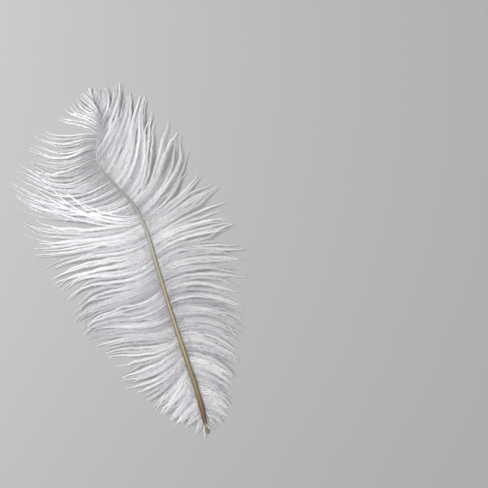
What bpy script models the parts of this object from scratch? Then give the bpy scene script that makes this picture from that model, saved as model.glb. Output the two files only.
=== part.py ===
"""Ostrich feather lying on a flat surface: one shaft and the locks its barbs gather in, grown as one piece.

Lengths named in millimetres below are turned to metres where they are used. +Z is up, +Y runs from the
quill's end to the tip, and the origin is under the middle of the feather, on the surface it lies on.
"""

import bmesh
import bpy
import numpy as np

MM = 0.001

# The point of the drawing below, in millimetres from the quill's end, that is the model's origin.
ORIGIN = np.array([-6.3, 149.5, 0.0])

# The shaft's line seen from above, quill end first, in millimetres: nearly straight, then a hook to the
# left and back near the tip.
SHAFT_LINE = (
    (0.0, 0.0), (3.0, 25.0), (3.6, 60.0), (3.8, 100.0), (5.2, 145.0), (6.2, 173.0), (3.2, 195.0),
    (-5.0, 213.5), (-12.5, 231.0), (-13.4, 243.5), (-8.0, 257.5), (-1.5, 268.0), (0.2, 275.0),
    (-1.4, 285.0), (-0.6, 292.0),
)
# Distance along the shaft and its width there, in millimetres: a rounded quill end, then a long taper.
SHAFT_WIDTHS = (
    (0, 2.2), (6, 3.0), (14, 3.9), (24, 4.4), (36, 4.0), (55, 3.7), (100, 3.3), (170, 2.4), (230, 1.6),
    (300, 0.8),
)
SHAFT_SIDES_HALF = 4
SHAFT_RINGS = 34
ARCH_HEIGHT = 7.0
ARCH_POWER = 1.3

# Guide barbs of each vane. A row is the place of the root along the shaft, the length, and five headings,
# evenly spaced from the root to the tip. Places and lengths are in millimetres, headings in degrees from
# +Y towards the vane's own side.
LEFT_GUIDES = (
    (8, 8, 160, 158, 156, 154, 152), (12.6, 14, 159, 158, 156, 153, 148),
    (20.3, 19, 135, 119, 110, 108, 114),
    (29.7, 28, 134, 123, 118, 118, 122), (39.2, 34, 132, 131, 128, 125, 120),
    (49.5, 41, 130, 127, 123, 120, 117), (57.1, 45, 133, 127, 123, 120, 118),
    (62.3, 47, 131, 122, 113, 107, 102), (67.5, 55, 129, 112, 100, 91, 81),
    (73.6, 55, 125, 108, 93, 86, 89), (78.8, 54, 120, 104, 92, 85, 79),
    (84, 64, 121, 87, 74, 80, 100), (90.8, 68, 116, 75, 73, 84, 80),
    (98.7, 69, 114, 86, 75, 77, 86), (105.7, 74, 118, 86, 73, 79, 106),
    (116.1, 72, 123, 97, 78, 82, 122), (128, 79, 126, 96, 89, 97, 107),
    (136.7, 72, 120, 97, 83, 89, 123), (145.2, 81, 118, 91, 78, 87, 128),
    (153, 82, 121, 92, 78, 87, 123), (159.7, 85, 119, 86, 81, 87, 86),
    (165.8, 83, 110, 85, 77, 85, 106), (171.9, 88, 118, 82, 77, 87, 92),
    (177, 92, 116, 81, 79, 82, 56), (181.4, 96, 114, 83, 77, 76, 57),
    (185.7, 105, 116, 83, 75, 66, 29), (189.6, 103, 109, 82, 72, 61, 32),
    (194.7, 98, 105, 80, 70, 61, 39), (204.2, 93, 107, 84, 69, 55, 35),
    (216.7, 93, 107, 91, 68, 48, 44), (225.1, 82, 107, 96, 66, 44, 48),
    (232.5, 77, 111, 97, 64, 39, 39), (239.9, 71, 98, 103, 67, 34, 28),
    (244.9, 60, 85, 102, 82, 59, 62), (249.7, 57, 78, 99, 86, 61, 51),
    (254.2, 58, 69, 102, 83, 54, 55), (258.2, 53, 70, 92, 76, 52, 57),
    (261.4, 50, 52, 86, 82, 55, 22), (264.3, 44, 26, 77, 83, 66, 58),
    (266, 31, 15, 50, 68, 72, 66), (268.1, 39, 8, 49, 62, 56, 49),
    (270.7, 34, 19, 34, 55, 58, 23), (274.1, 32, 23, 39, 45, 32, -3),
    (277.9, 27, 18, 34, 40, 31, 8), (281.2, 24, 16, 25, 31, 32, 29),
    (285, 22, 18, 11, 17, 30, 44), (288.9, 16, 16, 12, 12, 17, 26),
    (294, 13, 18, 11, 3, -7, -18), (298.5, 8, 8, 5, 2, -2, -6),
)
RIGHT_GUIDES = (
    (7.4, 5, 151, 155, 158, 162, 165), (10.7, 10, 150, 157, 162, 164, 165),
    (15.8, 16, 152, 143, 141, 147, 160), (21.7, 20, 146, 145, 142, 139, 136),
    (28.5, 27, 146, 145, 144, 142, 140), (36.2, 31, 130, 135, 139, 143, 146),
    (44.9, 34, 116, 126, 135, 144, 151), (53.6, 37, 109, 123, 135, 142, 146),
    (63.9, 41, 107, 123, 134, 141, 143), (72.6, 47, 91, 116, 129, 139, 151),
    (84.5, 51, 87, 110, 126, 137, 145), (96.4, 55, 84, 105, 120, 132, 139),
    (107.6, 60, 79, 100, 116, 128, 131), (119.5, 65, 76, 94, 110, 121, 125),
    (132.4, 69, 70, 91, 106, 114, 115), (144.4, 69, 67, 87, 101, 108, 108),
    (155.6, 68, 68, 83, 93, 98, 98), (166.7, 65, 71, 79, 84, 86, 85),
    (175.4, 62, 70, 75, 75, 72, 69), (181.7, 61, 70, 71, 63, 53, 50),
    (187.7, 68, 71, 63, 47, 36, 42), (193.7, 68, 73, 54, 37, 29, 36),
    (199.3, 75, 75, 45, 27, 25, 39), (205.7, 76, 70, 42, 26, 23, 33),
    (212.9, 77, 71, 40, 25, 24, 34), (219.9, 75, 70, 39, 26, 27, 34),
    (226.9, 72, 63, 42, 31, 28, 29), (233.3, 67, 52, 48, 37, 26, 23),
    (240.4, 61, 51, 50, 41, 30, 22), (248, 58, 46, 49, 41, 28, 22),
    (255.4, 51, 46, 46, 41, 27, 4), (262.8, 40, 39, 50, 43, 33, 37),
    (268.5, 37, 50, 51, 41, 28, 14), (277.1, 29, 53, 52, 37, 15, -7),
    (280.8, 24, 51, 46, 32, 18, 8), (284.3, 21, 47, 41, 31, 20, 10),
    (288, 17, 47, 38, 30, 22, 15), (291.9, 14, 40, 36, 32, 27, 22),
    (295.5, 10, 27, 32, 34, 35, 33), (298.5, 8, 14, 16, 17, 16, 14),
)
LEFT, RIGHT = -1, 1

# The locks: how many on each side, where the first and the last grow, and how they taper and lie.
LOCKS_PER_SIDE = {LEFT: 38, RIGHT: 35}
FIRST_ROOT = 10.0
LAST_ROOT = 296.0
LOCK_POINTS = 7
SHORT_LOCK_POINTS = 5
SHORT_LOCK = 30.0
LOCK_OVERLAP = 1.22
LOCK_THICKNESS_SHARE = 0.21
LOCK_WIDTH_LEAST = 2.2
LOCK_WIDTH_MOST = 15.0
LOCK_WIDTH_SHARE = 0.24
LOCK_TIP_WIDTH = 1.1
TAPER_START = 0.6
TAPER_POWER = 1.3
ROOT_DROP_SHARE = 0.3
ROOT_PAST_MIDDLE = 0.8
BARB_RISE = 3.0
TIP_HEIGHT_LEAST = 0.05
TIP_HEIGHT_RANGE = 1.3
LENGTH_CHANGE = 0.07
HEADING_CHANGE = 4.0
GOLDEN_RATIO = 0.6180339887

VANE_COLOUR = (0.78, 0.78, 0.80, 1.0)
WELD_DISTANCE = 0.00001
GROUND_SIZE = 0.6
GROUND_DEPTH = 0.05


def clear_scene():
    """Remove every object, so that the model is the only thing in the file."""
    for item in list(bpy.data.objects):
        bpy.data.objects.remove(item, do_unlink=True)


def smooth_line(points, steps):
    """A Catmull-Rom curve through the points, with this many steps between two of them."""
    line = np.array(points, dtype=float)
    line = np.vstack([2 * line[0] - line[1], line, 2 * line[-1] - line[-2]])
    t = np.linspace(0.0, 1.0, steps, endpoint=False)[:, None]
    spans = []
    for a, b, c, d in zip(line[:-3], line[1:-2], line[2:-1], line[3:]):
        spans.append(0.5 * (2 * b + (c - a) * t + (2 * a - 5 * b + 4 * c - d) * t ** 2
                            + (3 * b - a - 3 * c + d) * t ** 3))
    spans.append(line[-2][None])
    return np.vstack(spans)


SHAFT = smooth_line(SHAFT_LINE, 12)
SHAFT_DISTANCE = np.concatenate([[0.0], np.cumsum(np.hypot(*np.diff(SHAFT, axis=0).T))])
SHAFT_LENGTH = SHAFT_DISTANCE[-1]


def shaft_width(distance):
    """The shaft's width at a distance along it."""
    places, widths = np.array(SHAFT_WIDTHS, dtype=float).T
    return np.interp(distance, places, widths)


def shaft_height(distance):
    """Height of the shaft's middle: it rests at both ends and arches between them."""
    share = np.clip(np.asarray(distance) / SHAFT_LENGTH, 0.0, 1.0)
    return 0.46 * shaft_width(distance) + ARCH_HEIGHT * np.sin(np.pi * share) ** ARCH_POWER


def shaft_point(distance):
    """A point of the shaft's middle line: x, y, z."""
    return np.stack([
        np.interp(distance, SHAFT_DISTANCE, SHAFT[:, 0]),
        np.interp(distance, SHAFT_DISTANCE, SHAFT[:, 1]),
        shaft_height(distance),
    ], axis=-1)


def barb_line(side, distance, count, length_factor=1.0, turn=0.0):
    """Seen from above, the line of the barb that grows at a distance along the shaft."""
    table = np.array(LEFT_GUIDES if side == LEFT else RIGHT_GUIDES, dtype=float)
    row = np.array([np.interp(distance, table[:, 0], column) for column in table[:, 1:].T])
    t = np.linspace(0.0, 1.0, count)
    heading = np.interp(t, np.linspace(0.0, 1.0, len(row) - 1), row[1:])
    heading = np.radians(heading + turn * t) * side
    step = row[0] * length_factor / (count - 1)
    run = np.stack([np.sin(heading), np.cos(heading)], axis=-1)
    middle_runs = (run[1:] + run[:-1]) / 2 * step
    start = shaft_point(distance)[:2] - run[0] * ROOT_PAST_MIDDLE
    return start + np.vstack([[0.0, 0.0], np.cumsum(middle_runs, axis=0)])


def lock_line(side, distance, spacing, number):
    """Points and widths of one lock from its root to its tip."""
    pick = (number * GOLDEN_RATIO) % 1.0
    other_pick = (number * GOLDEN_RATIO * GOLDEN_RATIO * 7) % 1.0
    length_factor = 1.0 + LENGTH_CHANGE * (2 * pick - 1)
    turn = HEADING_CHANGE * (2 * other_pick - 1)
    plan = barb_line(side, distance, LOCK_POINTS, length_factor, turn)
    length = np.hypot(*np.diff(plan, axis=0).T).sum()
    count = SHORT_LOCK_POINTS if length < SHORT_LOCK else LOCK_POINTS
    plan = barb_line(side, distance, count, length_factor, turn)
    t = np.linspace(0.0, 1.0, count)

    near = barb_line(side, distance - spacing / 2, count, length_factor, turn)
    far = barb_line(side, distance + spacing / 2, count, length_factor, turn)
    across = np.cross(np.gradient(plan, axis=0), far - near)
    gap = np.abs(across) / np.hypot(*np.gradient(plan, axis=0).T)
    most = min(LOCK_WIDTH_MOST, LOCK_WIDTH_LEAST + LOCK_WIDTH_SHARE * length)
    width = np.clip(gap * LOCK_OVERLAP, LOCK_WIDTH_LEAST, most)
    fall = np.clip((t - TAPER_START) / (1 - TAPER_START), 0.0, 1.0)
    width = width + (LOCK_TIP_WIDTH - width) * fall ** TAPER_POWER

    settle = t * t * (3 - 2 * t)
    tip_height = TIP_HEIGHT_LEAST + TIP_HEIGHT_RANGE * other_pick
    rise = BARB_RISE * min(1.0, length / 60) * np.sin(np.pi * t) * (1 - t)
    root_height = shaft_height(distance) - ROOT_DROP_SHARE * shaft_width(distance)
    height = root_height * (1 - settle) + tip_height * settle + rise
    return np.column_stack([plan, height]), width


def lock_section(collection):
    """The outline that every lock carries: a flat lens of unit width, as a closed curve."""
    half = LOCK_THICKNESS_SHARE / 2
    outline = ((-0.5, 0.0), (-0.22, half), (0.22, half), (0.5, 0.0), (0.22, -half), (-0.22, -half))
    data = bpy.data.curves.new("lock_section", "CURVE")
    data.dimensions = "2D"
    spline = data.splines.new("POLY")
    spline.points.add(len(outline) - 1)
    for point, (x, y) in zip(spline.points, outline):
        point.co = (x, y, 0.0, 1.0)
    spline.use_cyclic_u = True
    return add_guide(bpy.data.objects.new("lock_section", data), collection)


def add_guide(item, collection):
    """Put an object among the guides, which aren't parts of the feather."""
    collection.objects.link(item)
    item.hide_render = True
    item.display_type = "WIRE"
    return item


def curve_as_mesh(name, data, collection):
    """Make a curve a closed mesh, with its caps welded and its faces pointing out."""
    curve = bpy.data.objects.new(name + "_curve", data)
    collection.objects.link(curve)
    bpy.context.view_layer.update()
    evaluated = curve.evaluated_get(bpy.context.evaluated_depsgraph_get())
    mesh = bpy.data.meshes.new_from_object(evaluated)
    work = bmesh.new()
    work.from_mesh(mesh)
    bmesh.ops.remove_doubles(work, verts=work.verts, dist=WELD_DISTANCE)
    bmesh.ops.recalc_face_normals(work, faces=work.faces)
    work.to_mesh(mesh)
    work.free()
    item = bpy.data.objects.new(name, mesh)
    item.matrix_world = curve.matrix_world
    bpy.data.objects.remove(curve, do_unlink=True)
    return item


def path_data(name, points, radii):
    """A curve through points in millimetres, with a radius at each."""
    data = bpy.data.curves.new(name, "CURVE")
    data.dimensions = "3D"
    data.twist_mode = "Z_UP"
    data.use_fill_caps = True
    spline = data.splines.new("POLY")
    spline.points.add(len(points) - 1)
    for point, place, radius in zip(spline.points, points, radii):
        point.co = (*((place - ORIGIN) * MM), 1.0)
        point.radius = radius
    return data


def build_lock(side, number, distance, spacing, section, collection):
    """One lock of barbs as a closed, flat, tapered solid."""
    points, widths = lock_line(side, distance, spacing, number)
    name = "lock_{}_{:02d}".format("left" if side == LEFT else "right", number)
    data = path_data(name, points, widths * MM)
    data.bevel_mode = "OBJECT"
    data.bevel_object = section
    return add_guide(curve_as_mesh(name, data, collection), collection)


def build_shaft(parts, guides):
    """The shaft: a round tapered rod along its line."""
    distance = np.linspace(0.0, SHAFT_LENGTH, SHAFT_RINGS)
    points = shaft_point(distance)
    data = path_data("shaft", points, shaft_width(distance) / 2 * MM)
    data.bevel_depth = 1.0
    data.bevel_resolution = SHAFT_SIDES_HALF - 2
    item = curve_as_mesh("feather", data, guides)
    parts.objects.link(item)
    return item


def vane_material():
    """White barb keratin."""
    material = bpy.data.materials.new("white_barb")
    material.use_nodes = True
    shader = material.node_tree.nodes["Principled BSDF"]
    shader.inputs["Base Color"].default_value = VANE_COLOUR
    shader.inputs["Roughness"].default_value = 0.65
    shader.inputs["Metallic"].default_value = 0.0
    return material


def build_ground_cutter(collection):
    """A block whose top is the surface that the feather lies on."""
    mesh = bpy.data.meshes.new("ground")
    work = bmesh.new()
    bmesh.ops.create_cube(work, size=1.0)
    bmesh.ops.scale(work, verts=work.verts, vec=(GROUND_SIZE, GROUND_SIZE, GROUND_DEPTH))
    bmesh.ops.translate(work, verts=work.verts, vec=(0.0, 0.0, -GROUND_DEPTH / 2))
    work.to_mesh(mesh)
    work.free()
    return add_guide(bpy.data.objects.new("ground", mesh), collection)


def build_feather():
    """The shaft joined with its locks, cut flat where they lie on the surface."""
    parts = bpy.data.collections.new("ostrich_feather")
    locks = bpy.data.collections.new("locks")
    guides = bpy.data.collections.new("guides")
    for collection in (parts, locks, guides):
        bpy.context.scene.collection.children.link(collection)

    section = lock_section(guides)
    for side, count in LOCKS_PER_SIDE.items():
        roots = np.linspace(FIRST_ROOT, LAST_ROOT, count)
        spacing = roots[1] - roots[0]
        for number, distance in enumerate(roots):
            build_lock(side, number, distance, spacing, section, locks)

    feather = build_shaft(parts, guides)
    feather.data.materials.append(vane_material())
    union = feather.modifiers.new("locks", "BOOLEAN")
    union.operation = "UNION"
    union.solver = "EXACT"
    union.operand_type = "COLLECTION"
    union.collection = locks
    cut = feather.modifiers.new("ground", "BOOLEAN")
    cut.operation = "DIFFERENCE"
    cut.solver = "EXACT"
    cut.object = build_ground_cutter(guides)
    return feather


clear_scene()
build_feather()
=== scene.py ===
"""A white ostrich plume lying on a pale table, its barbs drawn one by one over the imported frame.

One shaft of horn-like keratin carries 366 barbs. Each barb is a thin tapered stem with a row of soft
barbules on either side, and the barbs gather in pointed wisps towards the edge of the vane. Sizes are
millimetres unless a name says otherwise, and every mesh is written in metres.
"""

import logging
import math
from dataclasses import dataclass, field
from enum import Enum
from typing import Any

import bpy
import numpy as np
from mathutils import Matrix, Vector


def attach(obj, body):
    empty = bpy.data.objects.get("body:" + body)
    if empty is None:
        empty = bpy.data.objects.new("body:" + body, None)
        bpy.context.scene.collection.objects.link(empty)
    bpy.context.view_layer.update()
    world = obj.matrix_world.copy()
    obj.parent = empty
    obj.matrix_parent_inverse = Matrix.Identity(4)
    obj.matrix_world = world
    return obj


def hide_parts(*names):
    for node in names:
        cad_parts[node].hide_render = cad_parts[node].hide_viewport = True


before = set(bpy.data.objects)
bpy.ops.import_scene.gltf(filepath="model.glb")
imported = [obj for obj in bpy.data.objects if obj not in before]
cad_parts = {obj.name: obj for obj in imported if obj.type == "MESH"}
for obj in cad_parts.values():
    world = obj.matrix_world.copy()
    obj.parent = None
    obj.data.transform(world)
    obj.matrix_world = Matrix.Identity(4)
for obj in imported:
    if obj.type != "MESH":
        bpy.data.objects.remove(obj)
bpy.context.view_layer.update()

LOG = logging.getLogger("ostrich_plume")
MM = 0.001
GOLDEN_RATIO = 0.6180339887
FULL_TURN = 2 * math.pi
UP = np.array([0.0, 0.0, 1.0])
Pair = tuple[float, float]
Rows = tuple[tuple[float, ...], ...]


class Side(Enum):
    """The vane's side, seen from above with the tip away; the value is the sign of its X."""

    LEFT = -1
    RIGHT = 1


def smoothstep(value: np.ndarray) -> np.ndarray:
    """Ease from 0 to 1: the value cut to 0..1, squared, times three less twice itself."""
    cut = np.clip(value, 0.0, 1.0)
    return cut * cut * (3.0 - 2.0 * cut)


def faded_in(distance: np.ndarray, run: Pair) -> np.ndarray:
    """Ease from 0 at the start of a run to 1 at its end."""
    return smoothstep((distance - run[0]) / (run[1] - run[0]))


def bell(angle: np.ndarray, middle_and_half: Pair) -> np.ndarray:
    """A bell curve over angles in radians, round a middle with a half width, both in degrees."""
    middle, half = np.radians(middle_and_half)
    return np.exp(-(((angle - middle) / half) ** 2))


def unit(vectors: np.ndarray) -> np.ndarray:
    """Each vector divided by its own length."""
    return vectors / np.maximum(np.linalg.norm(vectors, axis=-1, keepdims=True), 1e-12)


def linear(code: str) -> tuple[float, float, float, float]:
    """Turn an sRGB hex colour to the linear values that shaders use.

    Args:
        code: The colour as "#RRGGBB".

    Returns:
        Red, green, blue and an alpha of one, by the sRGB curve.
    """
    parts = [int(code[k : k + 2], 16) / 255 for k in (1, 3, 5)]
    red, green, blue = (p / 12.92 if p <= 0.04045 else ((p + 0.055) / 1.055) ** 2.4 for p in parts)
    return red, green, blue, 1.0


def add_node(
    tree: bpy.types.NodeTree,
    kind: str,
    settings: dict[str, Any] | None = None,
    inputs: dict[Any, Any] | None = None,
) -> bpy.types.Node:
    """Add a node, set its properties and fill its inputs.

    Args:
        tree: The node tree that gets it.
        kind: Blender's name of the node type.
        settings: Properties by name.
        inputs: Values by socket name or number; an output socket is linked instead.

    Returns:
        The new node.
    """
    node = tree.nodes.new(kind)
    for name, value in (settings or {}).items():
        setattr(node, name, value)
    for name, value in (inputs or {}).items():
        if isinstance(value, bpy.types.NodeSocket):
            tree.links.new(value, node.inputs[name])
        else:
            node.inputs[name].default_value = value
    return node


def new_material(name: str) -> tuple[bpy.types.Material, bpy.types.NodeTree]:
    """Start a material with an empty node tree.

    Args:
        name: The finish it is named for.

    Returns:
        The material and its tree.
    """
    material = bpy.data.materials.new(name)
    material.use_nodes = True
    material.node_tree.nodes.clear()
    return material, material.node_tree


def set_ramp(node: bpy.types.Node, stops: tuple[tuple[float, str], ...]) -> None:
    """Give a colour ramp its stops.

    Args:
        node: The ColorRamp node.
        stops: Places from 0 to 1 with their sRGB colours.
    """
    ramp = node.color_ramp
    while len(ramp.elements) < len(stops):
        ramp.elements.new(0.5)
    for element, (place, code) in zip(ramp.elements, stops):
        element.position = place
        element.color = linear(code)


@dataclass
class Surface:
    """Points and triangles of one mesh in the making, with a value or two at each point."""

    points: np.ndarray
    triangles: np.ndarray
    values: dict[str, np.ndarray]

    @staticmethod
    def joined(surfaces: "list[Surface]") -> "Surface":
        """Put surfaces into one, with each one's triangle numbers moved past the points before it.

        Args:
            surfaces: The surfaces, which all carry the same values.

        Returns:
            The one surface.
        """
        starts = np.cumsum([0] + [len(s.points) for s in surfaces[:-1]])
        return Surface(
            np.concatenate([s.points for s in surfaces]),
            np.concatenate([s.triangles + start for s, start in zip(surfaces, starts)]),
            {name: np.concatenate([s.values[name] for s in surfaces]) for name in surfaces[0].values},
        )

    def to_object(self, name: str, material: bpy.types.Material, smooth: bool = True) -> bpy.types.Object:
        """Write the surface into a mesh object at the origin.

        Args:
            name: The piece's name.
            material: Its finish.
            smooth: Whether its faces are shaded as one round surface.

        Returns:
            The object, linked to the scene.
        """
        mesh = bpy.data.meshes.new(name)
        mesh.vertices.add(len(self.points))
        mesh.vertices.foreach_set("co", (self.points * MM).astype(np.float32).ravel())
        mesh.loops.add(self.triangles.size)
        mesh.loops.foreach_set("vertex_index", self.triangles.astype(np.int32).ravel())
        mesh.polygons.add(len(self.triangles))
        mesh.polygons.foreach_set("loop_start", np.arange(0, self.triangles.size, 3, dtype=np.int32))
        mesh.polygons.foreach_set("use_smooth", np.full(len(self.triangles), smooth))
        for title, values in self.values.items():
            layer = mesh.attributes.new(title, "FLOAT", "POINT")
            layer.data.foreach_set("value", values.astype(np.float32))
        mesh.update(calc_edges=True)
        mesh.materials.append(material)
        item = bpy.data.objects.new(name, mesh)
        bpy.context.scene.collection.objects.link(item)
        return item


@dataclass(frozen=True)
class BleachedBarbKeratin:
    """White barb keratin, washed and bleached as trade plumes are.

    Clear keratin full of fine air spaces: matt and nearly pure white, with a faint silky sheen where
    barbules lie side by side, and light that comes through the thin threads as well as off them.
    """

    name: str = "bleached_barb_keratin"
    shade_dull: str = "#BDBCC1"
    shade_bright: str = "#FFFFFF"
    through: str = "#FEFEFF"
    roughness: float = 0.62
    keratin_ior: float = 1.54
    sheen: float = 0.25
    sheen_roughness: float = 0.45
    translucency: float = 0.42

    def material(self) -> bpy.types.Material:
        """Build it: each barb's tone, which also carries painted shade near the shaft and painted light on
        the strays, sets the white, and a part of the light passes through.

        Returns:
            The material, which reads the point attribute tone.
        """
        material, tree = new_material(self.name)
        tone = add_node(tree, "ShaderNodeAttribute", {"attribute_name": "tone"})
        white = add_node(tree, "ShaderNodeValToRGB", inputs={"Fac": tone.outputs["Fac"]})
        set_ramp(white, ((0.0, self.shade_dull), (0.8, self.shade_bright)))
        body = add_node(tree, "ShaderNodeBsdfPrincipled", inputs={
            "Base Color": white.outputs["Color"],
            "Roughness": self.roughness,
            "IOR": self.keratin_ior,
            "Sheen Weight": self.sheen,
            "Sheen Roughness": self.sheen_roughness,
        })
        glow = add_node(tree, "ShaderNodeBsdfTranslucent", inputs={"Color": linear(self.through)})
        both = add_node(tree, "ShaderNodeMixShader", inputs={
            0: self.translucency, 1: body.outputs["BSDF"], 2: glow.outputs["BSDF"],
        })
        add_node(tree, "ShaderNodeOutputMaterial", inputs={"Surface": both.outputs["Shader"]})
        return material


@dataclass(frozen=True)
class HornKeratin:
    """Solid horn-like keratin of a quill, scraped clean and dried.

    Straw-coloured and a little clear, with fine fibre lines along it, a soft gloss on its back, brown
    stains by the skin end, painted shade on its sides, a painted highlight line along its back, and a
    greyer, thinner look as it runs up into the vane. Real fibre lines lie some 0.05 mm apart; they are
    drawn 0.35 mm apart, because finer ones don't show.
    """

    name: str = "horn_keratin"
    along: tuple[tuple[float, str], ...] = (
        (0.0, "#979485"), (0.022, "#847A64"), (0.038, "#604C39"), (0.09, "#725E48"), (0.115, "#7D6E52"),
        (0.19, "#877A5D"), (0.24, "#90846B"), (0.30, "#918A6F"), (0.45, "#8B8572"), (0.55, "#94928A"),
        (0.66, "#8B8C86"), (0.74, "#818181"), (0.85, "#6A6A6A"), (0.92, "#838383"), (1.0, "#9E9E9E"),
    )
    # Painted shade: the shaft's colours as its round sides look in shade, mixed in by the edge attribute.
    edges: tuple[tuple[float, str], ...] = (
        (0.0, "#6B6756"), (0.035, "#513524"), (0.085, "#5A402A"), (0.12, "#675533"), (0.3, "#6D6244"),
        (0.45, "#766D54"), (0.6, "#767061"), (0.75, "#717171"), (1.0, "#7E7E7E"),
    )
    # Painted highlight: a lighter line where the light catches the shaft's back.
    painted_highlight: str = "#B4A98A"
    fibre: str = "#75674A"
    roughness: float = 0.36
    keratin_ior: float = 1.54
    coat: float = 0.12
    coat_roughness: float = 0.25
    clearness: float = 0.15
    depth_of_light: tuple[float, float, float] = (0.9, 0.6, 0.3)
    fibre_pitch: float = 0.35
    fibre_stretch: float = 50.0
    fibre_share: float = 0.38
    fibre_depth: float = 0.05

    def material(self) -> bpy.types.Material:
        """Build it: a ramp along the shaft, darkened and dented by fibre lines that run with it, with a
        painted highlight line and painted shade on the sides mixed in.

        Returns:
            The material, which reads the point attributes run, edge and cream.
        """
        material, tree = new_material(self.name)
        run = add_node(tree, "ShaderNodeAttribute", {"attribute_name": "run"})
        base = add_node(tree, "ShaderNodeValToRGB", inputs={"Fac": run.outputs["Fac"]})
        set_ramp(base, self.along)
        place = add_node(tree, "ShaderNodeTexCoord")
        stretch = add_node(tree, "ShaderNodeMapping", inputs={
            "Vector": place.outputs["Object"], "Scale": (1.0, 1.0 / self.fibre_stretch, 1.0),
        })
        lines = add_node(tree, "ShaderNodeTexNoise", {"noise_dimensions": "3D"}, {
            "Vector": stretch.outputs["Vector"],
            "Scale": 1.0 / (self.fibre_pitch * MM),
            "Detail": 3.0,
            "Roughness": 0.6,
        })
        much = add_node(tree, "ShaderNodeMapRange", inputs={
            "Value": lines.outputs["Fac"], "From Min": 0.45, "From Max": 0.8, "To Max": self.fibre_share,
        })
        fibres = add_node(tree, "ShaderNodeMix", {"data_type": "RGBA"}, {
            "Factor": much.outputs["Result"], 6: base.outputs["Color"], 7: linear(self.fibre),
        })
        # A painted highlight line along the back, then painted shade on the sides.
        painted_highlight = add_node(tree, "ShaderNodeAttribute", {"attribute_name": "painted_highlight"})
        highlight_line = add_node(tree, "ShaderNodeMix", {"data_type": "RGBA"}, {
            "Factor": painted_highlight.outputs["Fac"], 6: fibres.outputs[2], 7: linear(self.painted_highlight),
        })
        edge = add_node(tree, "ShaderNodeAttribute", {"attribute_name": "edge"})
        rim = add_node(tree, "ShaderNodeValToRGB", inputs={"Fac": run.outputs["Fac"]})
        set_ramp(rim, self.edges)
        colour = add_node(tree, "ShaderNodeMix", {"data_type": "RGBA"}, {
            "Factor": edge.outputs["Fac"], 6: highlight_line.outputs[2], 7: rim.outputs["Color"],
        })
        dents = add_node(tree, "ShaderNodeBump", inputs={
            "Height": lines.outputs["Fac"], "Strength": 0.25, "Distance": self.fibre_depth * MM,
        })
        body = add_node(tree, "ShaderNodeBsdfPrincipled", inputs={
            "Base Color": colour.outputs[2],
            "Roughness": self.roughness,
            "IOR": self.keratin_ior,
            "Coat Weight": self.coat,
            "Coat Roughness": self.coat_roughness,
            "Subsurface Weight": self.clearness,
            "Subsurface Radius": tuple(depth * MM for depth in self.depth_of_light),
            "Subsurface Scale": 1.0,
            "Normal": dents.outputs["Normal"],
        })
        add_node(tree, "ShaderNodeOutputMaterial", inputs={"Surface": body.outputs["BSDF"]})
        return material


@dataclass(frozen=True)
class PaintedTable:
    """A table top rolled with matt emulsion paint: pale grey, with a very faint roller stipple.

    The stipple is 1.6 mm from crest to crest, as a short-haired roller leaves it.
    """

    name: str = "matt_emulsion_paint"
    shade: str = "#989899"
    roughness: float = 0.85
    stipple: float = 1.6
    stipple_depth: float = 0.05

    def material(self) -> bpy.types.Material:
        """Build it: one pale colour, with a bump of the stipple's size.

        Returns:
            The material.
        """
        material, tree = new_material(self.name)
        place = add_node(tree, "ShaderNodeTexCoord")
        grain = add_node(tree, "ShaderNodeTexNoise", inputs={
            "Vector": place.outputs["Object"], "Scale": 1.0 / (self.stipple * MM), "Detail": 2.0,
        })
        dents = add_node(tree, "ShaderNodeBump", inputs={
            "Height": grain.outputs["Fac"], "Strength": 0.08, "Distance": self.stipple_depth * MM,
        })
        body = add_node(tree, "ShaderNodeBsdfPrincipled", inputs={
            "Base Color": linear(self.shade), "Roughness": self.roughness, "Normal": dents.outputs["Normal"],
        })
        add_node(tree, "ShaderNodeOutputMaterial", inputs={"Surface": body.outputs["BSDF"]})
        return material


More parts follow.
